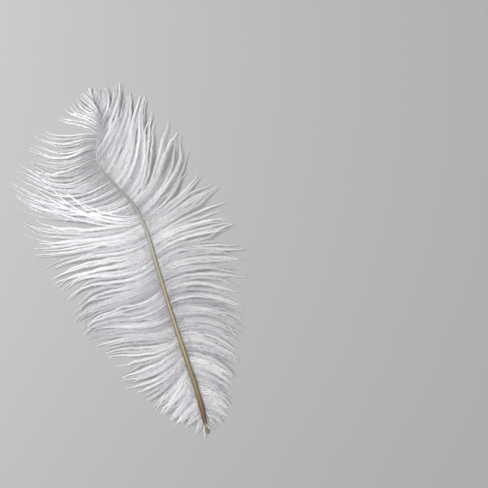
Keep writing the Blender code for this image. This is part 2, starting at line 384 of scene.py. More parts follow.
@dataclass
class Shaft:
    """Quill and rachis: one tapered rod, round at the skin end and shallowly grooved further up.

    knots are points of its middle line seen from above, from the quill's end. widths gives its width at
    distances along it. It rests at both ends and arches between them. Angles round it are in degrees from
    its right side by way of its top: groove_at and highlight_at give the middle and the half width of the
    groove and of the painted highlight line along its back. Runs are distances where something fades in,
    and for the painted highlight line also where it fades out. edge_sides gives, for its right and its left
    side, how far across the painted shade on that side starts, how far across it is full, and how strong it
    is.
    """

    origin: Pair = (-6.3, 149.5)
    knots: Rows = (
        (0.0, 0.0), (3.0, 25.0), (3.6, 60.0), (3.8, 100.0), (5.2, 145.0), (6.2, 173.0), (3.2, 195.0),
        (-5.0, 213.5), (-12.5, 231.0), (-13.4, 243.5), (-8.0, 257.5), (-1.5, 268.0), (0.2, 275.0),
        (-1.4, 285.0), (-0.6, 292.0),
    )
    widths: Rows = (
        (0, 2.2), (6, 3.0), (14, 3.9), (24, 4.4), (36, 4.0), (55, 3.7), (100, 3.3), (170, 2.4), (230, 1.6),
        (300, 0.8),
    )
    arch: float = 7.0
    arch_power: float = 1.3
    span_steps: int = 12
    rings: int = 420
    sides: int = 22
    flatness: float = 0.94
    nose: float = 1.4
    flutes: int = 5
    flute_depth: float = 0.012
    flute_run: Pair = (0.0, 30.0)
    groove: float = 0.13
    groove_at: Pair = (108.0, 22.0)
    groove_run: Pair = (30.0, 70.0)
    # A painted highlight line along the back, and painted shade on both sides that fades on the right
    # further up.
    highlight_line: float = 0.62
    highlight_at: Pair = (66.0, 17.0)
    highlight_run: Pair = (45.0, 90.0)
    highlight_end: Pair = (150.0, 200.0)
    edge_sides: Rows = ((0.45, 0.02), (1.0, 0.62), (0.9, 0.95))
    right_fade: float = 0.65
    right_fade_run: Pair = (40.0, 75.0)
    line: np.ndarray = field(init=False, repr=False)
    run: np.ndarray = field(init=False, repr=False)

    def __post_init__(self) -> None:
        """Draw the middle line, a Catmull-Rom curve through the knots, and measure along it."""
        knots = np.array(self.knots)
        knots = np.vstack([2 * knots[0] - knots[1], knots, 2 * knots[-1] - knots[-2]])
        t = np.linspace(0.0, 1.0, self.span_steps, endpoint=False)[None, :, None]
        a, b, c, d = (knots[k : len(knots) - 3 + k][:, None] for k in range(4))
        bent = (2 * a - 5 * b + 4 * c - d) * t**2 + (3 * b - a - 3 * c + d) * t**3
        spans = 0.5 * (2 * b + (c - a) * t + bent)
        self.line = np.vstack([spans.reshape(-1, 2), knots[-2]]) - np.array(self.origin)
        self.run = np.concatenate([[0.0], np.cumsum(np.hypot(*np.diff(self.line, axis=0).T))])

    @property
    def length(self) -> float:
        """Its length along its middle line."""
        return float(self.run[-1])

    def width_at(self, distance: np.ndarray) -> np.ndarray:
        """Its width at distances along it."""
        places, widths = np.array(self.widths).T
        return np.interp(distance, places, widths)

    def height_at(self, distance: np.ndarray) -> np.ndarray:
        """Height of its middle: nearly half its width, and an arch that is a power of a half sine wave."""
        share = np.clip(np.asarray(distance) / self.length, 0.0, 1.0)
        return 0.46 * self.width_at(distance) + self.arch * np.sin(np.pi * share) ** self.arch_power

    def point_at(self, distance: np.ndarray) -> np.ndarray:
        """Points of its middle line at distances along it."""
        flat = [np.interp(distance, self.run, self.line[:, k]) for k in (0, 1)]
        return np.stack([*flat, self.height_at(distance)], axis=-1)

    def radius_at(self, distance: np.ndarray, angle: np.ndarray) -> np.ndarray:
        """How far the surface stands from the middle line.

        It is half the width, less a smooth dent where the groove runs on the upper side, with faint
        flutes. Near both ends it follows a quarter circle to the pole, so the rod closes in a round nose.

        Args:
            distance: Places along the shaft.
            angle: Angles round it, in radians.

        Returns:
            The radius by place and angle.
        """
        ends = np.clip(np.minimum(distance, self.length - distance) / self.nose, 0.0, 1.0)
        round_end = np.sqrt(np.clip(1.0 - (1.0 - ends) ** 2, 0.0, 1.0))
        depth = self.groove * faded_in(distance, self.groove_run)[:, None]
        dent = 1.0 - depth * bell(angle, self.groove_at)[None, :]
        wave = np.sin(self.flutes * angle + 0.6)[None, :] * faded_in(distance, self.flute_run)[:, None]
        return (self.width_at(distance) / 2 * round_end)[:, None] * dent * (1.0 + self.flute_depth * wave)

    def shades_at(self, distance: np.ndarray, angle: np.ndarray) -> tuple[np.ndarray, np.ndarray]:
        """How much of the painted shade on the sides and of the painted highlight line shows.

        Args:
            distance: Places along the shaft.
            angle: Angles round it, in radians.

        Returns:
            Both shares by place and angle.
        """
        over = np.cos(angle)
        begins, full, most = (np.where(over > 0, right, left) for right, left in self.edge_sides)
        shade = smoothstep((np.abs(over) - begins) / (full - begins)) * most
        fade = 1 - self.right_fade * faded_in(distance, self.right_fade_run)
        edge = shade[None, :] * np.where(over[None, :] > 0, fade[:, None], 1.0)
        there = faded_in(distance, self.highlight_run) * (1 - faded_in(distance, self.highlight_end))
        return edge, self.highlight_line * bell(angle, self.highlight_at)[None, :] * there[:, None]

    def surface(self) -> Surface:
        """Carry the section along the middle line.

        Returns:
            The closed surface, with how far along it each point is and how much of each shade shows.
        """
        share = (1 - np.cos(np.linspace(0.0, np.pi, self.rings))) / 2
        distance = self.length * share
        angle = np.linspace(0.0, FULL_TURN, self.sides, endpoint=False)
        middle = self.point_at(distance)
        ahead = unit(np.gradient(middle, axis=0))
        right = unit(np.cross(ahead, UP))
        top = np.cross(right, ahead)
        radius = self.radius_at(distance, angle)
        across = radius * np.cos(angle)
        upward = radius * np.sin(angle) * self.flatness
        rings = middle[:, None] + across[..., None] * right[:, None] + upward[..., None] * top[:, None]
        rings[..., 2] = np.maximum(rings[..., 2], 0.02)
        points = np.vstack([middle[:1], rings[1:-1].reshape(-1, 3), middle[-1:]])

        count = self.rings - 2
        spoke = np.arange(self.sides)
        after = (spoke + 1) % self.sides
        ring = np.arange(count - 1)[:, None] * self.sides
        a, b = 1 + ring + spoke, 1 + ring + after
        c, d = b + self.sides, a + self.sides
        first, last = 1 + spoke, 1 + (count - 1) * self.sides + spoke
        triangles = np.concatenate([
            np.stack([np.zeros_like(first), first[after], first], -1),
            np.stack([a, b, c], -1).reshape(-1, 3),
            np.stack([a, c, d], -1).reshape(-1, 3),
            np.stack([np.full_like(last, len(points) - 1), last, last[after]], -1),
        ])
        # The edge attribute carries painted shade on the sides; the other carries the painted highlight
        # line.
        edge, painted_highlight = (
            np.concatenate([[0.0], shade.ravel(), [0.0]]) for shade in self.shades_at(distance[1:-1], angle)
        )
        run = np.concatenate([[0.0], np.repeat(share[1:-1], self.sides), [1.0]])
        return Surface(points, triangles, {"run": run, "edge": edge, "painted_highlight": painted_highlight})

    def build(self, finish: HornKeratin) -> bpy.types.Object:
        """Make the shaft's piece in its finish."""
        return self.surface().to_object("shaft", finish.material())


@dataclass
class Barbs:
    """A bunch of barbs: each one's middle line, its tone along that line, and a few figures of its own.

    lengths are in millimetres, down runs from 0 for a firm barb to 1 for a downy one, and fluff scales
    how far its barbules stand out.
    """

    lines: np.ndarray
    tones: np.ndarray
    lengths: np.ndarray
    down: np.ndarray
    fluff: np.ndarray

    def picked(self, which: slice) -> "Barbs":
        """The barbs that a slice picks."""
        return Barbs(*(values[which] for values in vars(self).values()))


@dataclass
class Threads:
    """Sizes of the stem and the barbules of a barb, and the two meshes they make.

    A stem is a three-sided tube, thinner on a short barb. A barbule is a spindle: a point on the stem, a
    small triangle part of the way out, and a point at its tip, so that it bends once and costs six
    triangles. angles gives how far a barbule turns from the stem at the root, the middle and the tip of
    the barb, in degrees, and the other angles are in degrees too.

    Beside the shaft a fluffy barb is full, over full_share of its length, and near the quill a barb is
    downy. Pairs named wilder or more say what a wholly full and a wholly downy barb adds. A loose barbule
    turns further out than its neighbours. clump_of neighbours form a clump, and where the barb is full or
    downy it changes its tone, its turn and its rise together, by about clump_changes. At the root of a
    smooth and of a fluffy barb, barbules have the shares root_lengths of their whole length, and towards
    the tip of a firm and of a downy barb they lose the shares shrinks_by. The outer part keeps a share of
    the rise and sinks by an angle in radians, both in bend_down, and above_table is the least height of
    the middle and of the tip. Real barbules are some 0.03 mm thick and 0.05 mm apart; they are drawn
    thicker and wider apart, because threads that fine fall below what one picture point can show.
    """

    stem_root: float = 0.22
    stem_tip: float = 0.05
    stem_power: float = 0.8
    stem_by_length: Pair = (0.55, 0.01)
    stem_limits: Pair = (0.6, 1.2)
    pitch: float = 0.145
    fewest: int = 12
    bare_root: float = 0.015
    barbule: float = 3.8
    barbule_change: Pair = (0.7, 1.25)
    barbule_radius: float = 0.068
    root_lengths: Pair = (0.15, 0.70)
    root_fluff: Pair = (0.5, 0.9)
    root_full: float = 0.85
    grown_at: float = 0.25
    shrinks_from: float = 0.65
    shrinks_by: Pair = (0.75, 0.65)
    short_barb: float = 30.0
    shortest: float = 0.45
    bend_at: float = 0.48
    bend_forward: float = 0.45
    bend_down: Pair = (0.3, 0.10)
    above_table: Pair = (0.10, 0.05)
    angles: tuple[float, float, float] = (17.0, 17.5, 10.5)
    scatter: float = 7.0
    scatter_wilder: Pair = (1.5, 3.2)
    lift: float = 14.0
    lift_middle: float = 2.0
    lift_wilder: Pair = (0.0, 1.4)
    tone_scatter: float = 0.10
    tone_wilder: Pair = (1.2, 0.6)
    full_share: float = 0.35
    full_fluff: Pair = (0.8, 1.2)
    full_angle: float = 24.0
    down_angle: float = 18.0
    down_angle_lost: float = 0.6
    down_longer: float = 0.3
    down_thicker: float = 0.15
    down_thinned: float = 0.3
    loose_share: float = 0.07
    loose_more: Pair = (0.42, 0.15)
    loose_angles: Pair = (10.0, 34.0)
    loose_wider: float = 0.6
    loose_until: float = 0.6
    loose_thicker: float = 0.3
    clump_of: int = 10
    clump_down: float = 0.3
    clump_changes: tuple[float, float, float] = (0.30, 11.0, 16.0)

    def stems(self, barbs: Barbs) -> Surface:
        """Carry a triangle along every barb, narrowing evenly to the tip and capped at both ends.

        Args:
            barbs: The barbs.

        Returns:
            The tubes as one surface.
        """
        lines = barbs.lines
        barb_count, places = lines.shape[:2]
        ahead = unit(np.gradient(lines, axis=1))
        right = unit(np.cross(ahead, UP))
        top = np.cross(right, ahead)
        share = np.linspace(0.0, 1.0, places)
        radius = self.stem_root + (self.stem_tip - self.stem_root) * share**self.stem_power
        sturdy = np.clip(self.stem_by_length[0] + self.stem_by_length[1] * barbs.lengths, *self.stem_limits)
        radius = radius[None, :, None] * sturdy[:, None, None]
        angle = np.radians([90.0, 210.0, 330.0])
        across = (radius * np.cos(angle))[..., None] * right[:, :, None]
        upward = (radius * np.sin(angle))[..., None] * top[:, :, None]
        points = lines[:, :, None] + across + upward
        barb = np.arange(barb_count)[:, None, None] * places * 3
        ring = np.arange(places - 1)[None, :, None] * 3
        spoke, after = np.arange(3)[None, None, :], (np.arange(3)[None, None, :] + 1) % 3
        a, b = barb + ring + spoke, barb + ring + after
        c, d = b + 3, a + 3
        first = barb[:, 0, 0]
        last = first + (places - 1) * 3
        triangles = np.concatenate([
            np.stack([a, b, c], -1).reshape(-1, 3),
            np.stack([a, c, d], -1).reshape(-1, 3),
            np.stack([first + 2, first + 1, first], -1),
            np.stack([last, last + 1, last + 2], -1),
        ])
        return Surface(points.reshape(-1, 3), triangles, {"tone": np.repeat(barbs.tones.ravel(), 3)})

    def barbules(self, barbs: Barbs, chance: np.random.Generator) -> Surface:
        """Set barbules along every barb, on its two sides in turn.

        Each starts on the stem, leaves it sideways by the angle of its place along the barb, and bends
        forward half way.

        Args:
            barbs: The barbs.
            chance: The source of the small differences between them.

        Returns:
            The spindles as one surface.
        """
        counts = np.maximum((barbs.lengths / self.pitch).astype(int), self.fewest)
        owner = np.repeat(np.arange(len(counts)), counts)
        number = np.arange(counts.sum()) - np.repeat(np.cumsum(counts) - counts, counts)
        spaced = (number + chance.uniform(0.1, 0.9, len(owner))) / counts[owner]
        t = self.bare_root + (1 - self.bare_root) * spaced
        kept = chance.random(len(owner)) > self.down_thinned * barbs.down[owner]
        clump = np.arange(len(owner)) // self.clump_of
        owner, number, t, clump = owner[kept], number[kept], t[kept], clump[kept]
        places = barbs.lines.shape[1]
        spot = t * (places - 1)
        low = np.minimum(spot.astype(int), places - 2)
        part = (spot - low)[:, None]
        root = barbs.lines[owner, low] * (1 - part) + barbs.lines[owner, low + 1] * part
        ahead = unit(np.gradient(barbs.lines, axis=1))
        ahead = unit(ahead[owner, low] * (1 - part) + ahead[owner, low + 1] * part)
        right = unit(np.cross(ahead, UP))
        side = np.where(number % 2 == 0, 1.0, -1.0)

        total = len(owner)
        down = barbs.down[owner]
        fluff = barbs.fluff[owner]
        full = faded_in(fluff, self.full_fluff) * (1 - smoothstep(t / self.full_share))
        both = np.stack([full, down])
        often = (self.loose_share + self.loose_more @ both) * (1 - faded_in(t, (self.loose_until, 1.0)))
        loose = chance.random(total) < often
        angle = np.interp(t, (0.0, 0.5, 1.0), self.angles) * fluff
        angle = angle + self.down_angle * down * (1 - self.down_angle_lost * t) + self.full_angle * full
        angle = angle + loose * chance.uniform(*self.loose_angles, total) * (1 + self.loose_wider * full)
        clumped = chance.normal(0.0, 1.0, (3, clump[-1] + 1))[:, clump]
        clumped = clumped * np.maximum(full, self.clump_down * down)
        tint, swing, raised = clumped * np.array(self.clump_changes)[:, None]
        tone = chance.normal(0.0, self.tone_scatter, total) * (1 + self.tone_wilder @ both)
        tone = barbs.tones[owner, low] + tone + tint
        angle = angle + swing + chance.normal(0.0, self.scatter * (1 + self.scatter_wilder @ both), total)
        rise = chance.normal(self.lift_middle, self.lift * (1 + self.lift_wilder @ both), total) + raised
        angle, rise = np.radians(angle) * side, np.radians(rise)
        radius = self.barbule_radius * (1 + self.loose_thicker * loose + self.down_thicker * down)
        long = self.lengths_at(t, both, fluff, chance)
        long = long * np.clip(barbs.lengths[owner] / self.short_barb, self.shortest, 1.0)
        kept_rise, sink = self.bend_down
        first = self.turned(ahead, right, angle, rise)
        second = self.turned(ahead, right, angle * self.bend_forward, rise * kept_rise - sink)
        middle = root + first * (long * self.bend_at)[:, None]
        tip = middle + second * (long * (1 - self.bend_at))[:, None]
        for points, least in zip((middle, tip), self.above_table):
            points[:, 2] = np.maximum(points[:, 2], least)
        return self.spindles(root, middle, tip, radius, np.clip(tone, 0.0, 1.0), chance)

    def lengths_at(
        self, t: np.ndarray, both: np.ndarray, fluff: np.ndarray, chance: np.random.Generator
    ) -> np.ndarray:
        """Lengths of barbules: they grow over the barb's first quarter and shrink over its last third.

        A fluffy barb starts with longer ones, and a full one with nearly whole ones.

        Args:
            t: Places along the barb, from 0 to 1.
            both: How full and how downy the barb is there.
            fluff: How far its barbules stand out.
            chance: Makes each a little longer or shorter.

        Returns:
            The lengths on a long barb.
        """
        full, down = both
        firm_by, downy_by = self.shrinks_by
        shrunk = (firm_by + (downy_by - firm_by) * down) * faded_in(t, (self.shrinks_from, 1.0))
        smooth_root, fluffy_root = self.root_lengths
        least = smooth_root + (fluffy_root - smooth_root) * faded_in(fluff, self.root_fluff)
        grown = np.maximum(least + (1 - least) * smoothstep(t / self.grown_at), self.root_full * full)
        change = chance.uniform(*self.barbule_change, len(t)) * (1 + self.down_longer * down)
        return self.barbule * grown * (1 - shrunk) * change * (0.6 + 0.4 * fluff)

    @staticmethod
    def turned(ahead: np.ndarray, right: np.ndarray, angle: np.ndarray, rise: np.ndarray) -> np.ndarray:
        """Turn directions sideways by an angle and lift them by another.

        Args:
            ahead: The directions.
            right: Level directions square to them.
            angle: Turns towards the right, in radians.
            rise: Lifts above the level, in radians.

        Returns:
            The new directions, of unit length.
        """
        level = ahead * np.cos(angle)[:, None] + right * np.sin(angle)[:, None]
        return unit(level * np.cos(rise)[:, None] + UP * np.sin(rise)[:, None])

    def spindles(
        self,
        root: np.ndarray,
        middle: np.ndarray,
        tip: np.ndarray,
        radius: np.ndarray,
        tone: np.ndarray,
        chance: np.random.Generator,
    ) -> Surface:
        """Make closed spindles: root point, a triangle round the middle point, tip point.

        Args:
            root: Root points.
            middle: Middle points.
            tip: Tip points.
            radius: How far each middle triangle's corners stand from the middle point.
            tone: The tone of each.
            chance: Turns each triangle by its own angle.

        Returns:
            The spindles as one surface.
        """
        total = len(root)
        run = unit(tip - root)
        right = unit(np.cross(run, UP) + 1e-6)
        top = np.cross(right, run)
        spin = chance.uniform(0.0, FULL_TURN, total)[:, None] + np.radians([0.0, 120.0, 240.0])[None, :]
        around = np.cos(spin)[..., None] * right[:, None] + np.sin(spin)[..., None] * top[:, None]
        ring = middle[:, None] + around * radius[:, None, None]
        points = np.concatenate([root[:, None], ring, tip[:, None]], axis=1).reshape(-1, 3)
        pattern = np.array([(0, 2, 1), (0, 3, 2), (0, 1, 3), (4, 1, 2), (4, 2, 3), (4, 3, 1)])
        triangles = (np.arange(total)[:, None, None] * 5 + pattern[None]).reshape(-1, 3)
        return Surface(points, triangles, {"tone": np.repeat(tone, 5)})

    def surface(self, barbs: Barbs, chance: np.random.Generator) -> Surface:
        """Stems and barbules of a bunch of barbs as one surface."""
        return Surface.joined([self.stems(barbs), self.barbules(barbs, chance)])


@dataclass
class Vane:
    """One side's barbs, from the flow that its guide barbs give.

    Rows are read by their first number, a place along the shaft in millimetres:
    guides: length, then five headings evenly spaced from root to tip, in degrees from +Y to the vane's side.
    partings: how far the barbs on both sides of it draw back, and how fast that fades.
    slits: the shares of the barbs' length between which a slit is open, and its width.
    gathering: how strongly barbs close up into tufts, and the share of their length where that starts.
    fluff: how far barbules stand out, as a factor.
    crowding: how many barbs grow there for each one that grows in the middle of the shaft.
    shaded_roots: how much the tone drops as painted shade from the root on, and the share of the length
    where it has come back.
    strays: guides of single barbs that lie over the others, with their extra height at the end.
    Pairs are the lowest and the highest value that chance may pick, but tone is a mean and a spread,
    tone_wave a size and a wave length, root_shade the drop of painted shade at the root and the share of the
    barb over which it fades, and pairs named between are the first and the last place. Barbs shorter than
    waver_length, curl_length or rise_length waver, curl or rise less.
    """

    shaft: Shaft
    side: Side
    seed: int
    barbs: int
    locks: int
    guides: Rows
    partings: Rows
    slits: Rows
    gathering: Rows
    fluff: Rows
    crowding: Rows
    shaded_roots: Rows
    strays: Rows
    parts: int = 4
    roots_between: Pair = (5.0, 298.0)
    root_spacing: Pair = (0.2, 0.8)
    locks_between: Pair = (10.0, 296.0)
    places: int = 36
    guide_blur: float = 2.0
    shorter: float = 0.05
    odd_lengths: tuple[float, ...] = (0.0, 0.10, -0.04)
    odd_shares: tuple[float, ...] = (0.80, 0.10, 0.10)
    longer: float = 1.04
    length_change: float = 0.05
    heading_change: float = 4.0
    tuft_shares: tuple[float, ...] = (0.14, 0.26, 0.26, 0.20, 0.14)
    tuft_turn: float = 3.2
    tuft_pull: Pair = (0.3, 1.3)
    tuft_start: Pair = (-0.15, 0.15)
    own_turn: float = 3.4
    own_wave: Pair = (0.05, 0.5)
    own_wave_turns: Pair = (0.8, 2.2)
    shared_waves: tuple[float, ...] = (8.0, 17.0, 37.0)
    shared_wave: float = 0.22
    shared_slant: Pair = (-1.2, 1.2)
    waver_length: float = 60.0
    slit_reach: float = 3.2
    small_slits: int = 50
    small_reach: float = 1.7
    small_place: Pair = (15.0, 290.0)
    small_start: Pair = (0.15, 0.95)
    small_run: Pair = (0.08, 0.28)
    small_width: Pair = (0.8, 2.2)
    smooth_from: float = 252.0
    root_past_middle: float = 0.8
    root_drop: Rows = ((200, 0.30), (255, -0.35))
    rise: float = 3.0
    rise_change: Pair = (0.3, 1.7)
    rise_length: float = 60.0
    tip_height: float = 0.15
    lowest: float = 0.15
    down_until: float = 76.0
    down_from: float = 12.0
    down_curl: float = 1.3
    curl_change: Pair = (0.2, 1.0)
    curl_length: float = 35.0
    fluff_change: Pair = (0.8, 1.2)
    tone: Pair = (0.58, 0.22)
    tone_wave: Pair = (0.05, 29.0)
    # Painted shade: every barb is darker at its root by the shaft.
    root_shade: Pair = (0.35, 0.07)
    stray_fluff: float = 0.6
    # Painted light: strays lie on top, so their tone is raised as if they catch more light.
    stray_painted_light: float = 0.4

    def flow(self, distance: np.ndarray) -> tuple[np.ndarray, np.ndarray]:
        """Length and headings at distances along the shaft.

        The guides are read every half millimetre and blurred a little with a Gaussian, so that no kink is
        left where one guide hands over to the next.

        Args:
            distance: Places along the shaft.

        Returns:
            Lengths, and the five headings of each place.
        """
        table = np.array(self.guides)
        step, reach = 0.5, 12
        grid = np.arange(0.0, self.shaft.length + 2.0, step)
        weight = np.exp(-0.5 * (np.arange(-reach, reach + 1) * step / self.guide_blur) ** 2)
        weight /= weight.sum()
        found = []
        for column in table[:, 1:].T:
            steps = np.pad(np.interp(grid, table[:, 0], column), reach, mode="edge")
            found.append(np.interp(distance, grid, np.convolve(steps, weight, mode="valid")))
        return found[0], np.stack(found[1:], axis=-1)

    def plan(self, distance: np.ndarray, length: np.ndarray, headings: np.ndarray) -> np.ndarray:
        """Lines of barbs seen from above.

        The heading runs evenly from one of the five values to the next, and the line is the running sum of
        its steps.

        Args:
            distance: Where each barb grows.
            length: How long it is.
            headings: Its five headings.

        Returns:
            Points by barb and place, X and Y.
        """
        spot = np.linspace(0.0, 4.0, self.places)
        low = np.minimum(spot.astype(int), 3)
        heading = headings[:, low] * (1 - spot + low) + headings[:, low + 1] * (spot - low)
        heading = np.radians(heading) * self.side.value
        run = np.stack([np.sin(heading), np.cos(heading)], axis=-1)
        moves = (run[:, 1:] + run[:, :-1]) / 2 * (length / (self.places - 1))[:, None, None]
        start = self.shaft.point_at(distance)[:, None, :2] - run[:, :1] * self.root_past_middle
        return start + np.concatenate([np.zeros_like(run[:, :1]), np.cumsum(moves, axis=1)], axis=1)

    def downiness(self, distance: np.ndarray) -> np.ndarray:
        """How downy barbs are: wholly by the skin end, and not at all past down_until."""
        return 1 - faded_in(distance, (self.down_from, self.down_until))

    def drawn_back(self, distance: np.ndarray) -> np.ndarray:
        """Where each barb reads the flow: beside a parting, further from it than the barb grows.

        Args:
            distance: Where each barb grows.

        Returns:
            Places along the shaft.
        """
        read = distance.astype(float)
        for place, back, fade in self.partings:
            off = distance - place
            read = read + np.where(off < 0, -back, back) * np.exp(-np.abs(off) / fade)
        return read

    def roots(self, chance: np.random.Generator) -> np.ndarray:
        """Places along the shaft where the barbs grow, nearly even but for the crowding.

        Args:
            chance: Moves each a little.

        Returns:
            The places, from the quill's end.
        """
        grid = np.linspace(*self.roots_between, 600)
        share = np.cumsum(np.interp(grid, *np.array(self.crowding).T))
        even = (np.arange(self.barbs) + chance.uniform(*self.root_spacing, self.barbs)) / self.barbs
        return np.interp(even, (share - share[0]) / (share[-1] - share[0]), grid)

    def tufts(self, distance: np.ndarray, chance: np.random.Generator) -> tuple[np.ndarray, np.ndarray]:
        """Deal the barbs out to tufts of one to five neighbours, none of which reaches over a parting.

        Args:
            distance: Where each barb grows.
            chance: Picks how many barbs each tuft has.

        Returns:
            The number of each barb's tuft, and the mean place of that tuft's roots.
        """
        sizes = chance.choice(np.arange(1, len(self.tuft_shares) + 1), self.barbs, p=self.tuft_shares)
        tuft = np.searchsorted(np.cumsum(sizes), np.arange(self.barbs), side="right")
        partings_before = np.searchsorted([row[0] for row in self.partings], distance)
        tuft = np.unique(tuft * (len(self.partings) + 1) + partings_before, return_inverse=True)[1]
        middle = np.bincount(tuft, distance) / np.bincount(tuft)
        return tuft, middle[tuft]

    def shifts(self, distance: np.ndarray, length: np.ndarray, chance: np.random.Generator) -> np.ndarray:
        """Sideways shifts along each barb, in millimetres towards the tip of the shaft.

        Slow waves that neighbours share make the barbs crowd and thin out. A barb adds two small waves of
        its own, and a curl where it is downy. Slits push the barbs on their two sides apart, over a part
        of the barbs' length.

        Args:
            distance: Where each barb grows.
            length: How long it is; a short one wavers less.
            chance: Picks the waves and the small slits.

        Returns:
            The shifts by barb and place.
        """
        t = np.linspace(0.0, 1.0, self.places)[None, :]
        root = distance[:, None]
        count = len(distance)
        shift = np.zeros((count, self.places))
        for wave in self.shared_waves:
            phase, slant = chance.uniform(0.0, FULL_TURN), chance.uniform(*self.shared_slant)
            size = self.shared_wave * (wave / 17.0) ** 0.6
            shift += size * smoothstep(t * 1.6) * np.sin(FULL_TURN * (root / wave + slant * t) + phase)
        own, phase, turns = (
            chance.uniform(*between, count)[:, None]
            for between in (self.own_wave, (0.0, 6.28), self.own_wave_turns)
        )
        shift += own * t * np.sin(FULL_TURN * turns * t + phase)
        shift += 0.45 * own * smoothstep(t * 3) * np.sin(FULL_TURN * 2.7 * turns * t + 2 * phase)
        shift *= np.clip(length / self.waver_length, 0.2, 1.0)[:, None]
        slits = (*self.picked_slits(chance), *((*row, self.slit_reach) for row in self.slits))
        curl = self.down_curl * self.downiness(root) * chance.uniform(*self.curl_change, (count, 1))
        curl = curl * np.clip(length / self.curl_length, 0.2, 1.0)[:, None]
        shift += curl * smoothstep(t * 1.5) * np.sin(FULL_TURN * 1.3 * t + 3 * phase)
        for place, start, stop, width, reach in slits:
            off = root - place
            opening = np.sin(np.pi * np.clip((t - start) / (stop - start), 0.0, 1.0)) ** 1.5
            shift += np.where(off < 0, -0.5, 0.5) * width * np.exp(-np.abs(off) / reach) * opening
        return shift

    def picked_slits(self, chance: np.random.Generator) -> np.ndarray:
        """Pick small slits, none of them in the smooth part by the tip.

        Args:
            chance: Picks their places, starts, runs and widths.

        Returns:
            Rows as in slits, with how far each reaches at the end.
        """
        count = self.small_slits
        start = chance.uniform(*self.small_start, count)
        place = chance.uniform(*self.small_place, count)
        stop = start + chance.uniform(*self.small_run, count)
        width = chance.uniform(*self.small_width, count)
        rows = np.column_stack([place, start, stop, width, np.full(count, self.small_reach)])
        return rows[place < self.smooth_from]

    def grow(self) -> Barbs:
        """Lay out every barb of the side.

        A barb first follows its own line. From part of the way out it is drawn towards the middle line of
        its tuft, more in some parts of the vane than in others, and then its shifts are added. Its height
        runs from the shaft's side down to the table, plus a soft rise.

        Returns:
            The barbs, in order from the quill's end, strays last.
        """
        chance = np.random.default_rng(self.seed)
        count = self.barbs
        distance = self.roots(chance)
        number = np.arange(self.locks)
        first, last = self.locks_between
        lock_gap = (last - first) / (self.locks - 1)
        lock = np.clip(np.rint((distance - first) / lock_gap).astype(int), 0, self.locks - 1)
        pick = (number * GOLDEN_RATIO) % 1.0
        other_pick = (number * GOLDEN_RATIO * GOLDEN_RATIO * 7) % 1.0
        tuft, tuft_root = self.tufts(distance, chance)

        grade = np.linspace(0.0, 1.0, 5)[None, :]
        length, headings = self.flow(self.drawn_back(distance))
        tuft_length, tuft_headings = self.flow(self.drawn_back(tuft_root))
        down = self.downiness(distance)
        shorter = np.abs(chance.normal(0.0, self.shorter, count)) * (1 + 2 * down)
        shorter = shorter + chance.choice(self.odd_lengths, count, p=self.odd_shares)
        factor = (self.longer + self.length_change * (2 * pick - 1))[lock] * (1 - shorter)
        turn = 0.5 * self.heading_change * (2 * other_pick - 1)[lock]
        turn = turn + chance.normal(0.0, self.tuft_turn, count)[tuft]
        own_turn = turn + chance.normal(0.0, self.own_turn, count) * (1 + 1.2 * down)
        own = self.plan(distance, length * factor, headings + own_turn[:, None] * grade)
        shared = self.plan(tuft_root, tuft_length * factor, tuft_headings + turn[:, None] * grade)
        places, pulls, starts = np.array(self.gathering).T
        pull = np.interp(distance, places, pulls) * chance.uniform(*self.tuft_pull, count)[tuft]
        start = np.interp(distance, places, starts) + chance.uniform(*self.tuft_start, count)[tuft]
        start = np.clip(start, 0.0, 0.9)
        t = np.linspace(0.0, 1.0, self.places)[None, :]
        close = np.clip(pull, 0.0, 0.97)[:, None] * smoothstep((t - start[:, None]) / (1 - start[:, None]))
        flat = own + (shared - own) * close[..., None]
        run = unit(np.gradient(flat, axis=1))
        across = np.stack([-run[..., 1], run[..., 0]], axis=-1) * self.side.value
        flat = flat + across * self.shifts(distance, length, chance)[..., None]

        reach = np.hypot(*np.diff(flat, axis=1).transpose(2, 0, 1)).sum(axis=1)
        tip_height = self.tip_height + 1.2 * other_pick[lock] + np.abs(chance.normal(0.0, 0.9, count))
        extra = self.rise * np.minimum(1.0, reach / self.rise_length)
        extra = extra * chance.uniform(*self.rise_change, count)
        height = self.heights(distance, tip_height, extra)
        tones = self.tones(distance, chance)
        fluff = np.interp(distance, *np.array(self.fluff).T) * chance.uniform(*self.fluff_change, count)
        barbs = Barbs(np.concatenate([flat, height[..., None]], axis=-1), tones, reach, down, fluff)
        return self.with_strays(barbs, chance)

    def heights(self, distance: np.ndarray, tip_height: np.ndarray, extra: np.ndarray) -> np.ndarray:
        """Heights along barbs: from the shaft's side to the tip's height, plus a rise that fades outward.

        Args:
            distance: Where each barb grows.
            tip_height: Height of each tip.
            extra: Size of each rise.

        Returns:
            Heights by barb and place.
        """
        t = np.linspace(0.0, 1.0, self.places)[None, :]
        drop = np.interp(distance, *np.array(self.root_drop).T)
        root_height = self.shaft.height_at(distance) - drop * self.shaft.width_at(distance)
        height = root_height[:, None] * (1 - smoothstep(t)) + tip_height[:, None] * smoothstep(t)
        height = height + extra[:, None] * np.sin(np.pi * t) * (1 - 0.7 * t)
        return np.maximum(height, self.lowest)

    def tones(self, distance: np.ndarray, chance: np.random.Generator) -> np.ndarray:
        """Tone along barbs: each has its own, darkens with painted shade towards the shaft, and changes
        slowly on its way out.

        Args:
            distance: Where each barb grows.
            chance: Picks the tones.

        Returns:
            Tones from 0, dull, to 1, bright, by barb and place.
        """
        t = np.linspace(0.0, 1.0, self.places)[None, :]
        count = len(distance)
        own = chance.normal(*self.tone, count)[:, None]
        size, wave = self.tone_wave
        phase = FULL_TURN * (distance[:, None] / wave + 1.3 * t) + chance.uniform(0.0, 6.28)
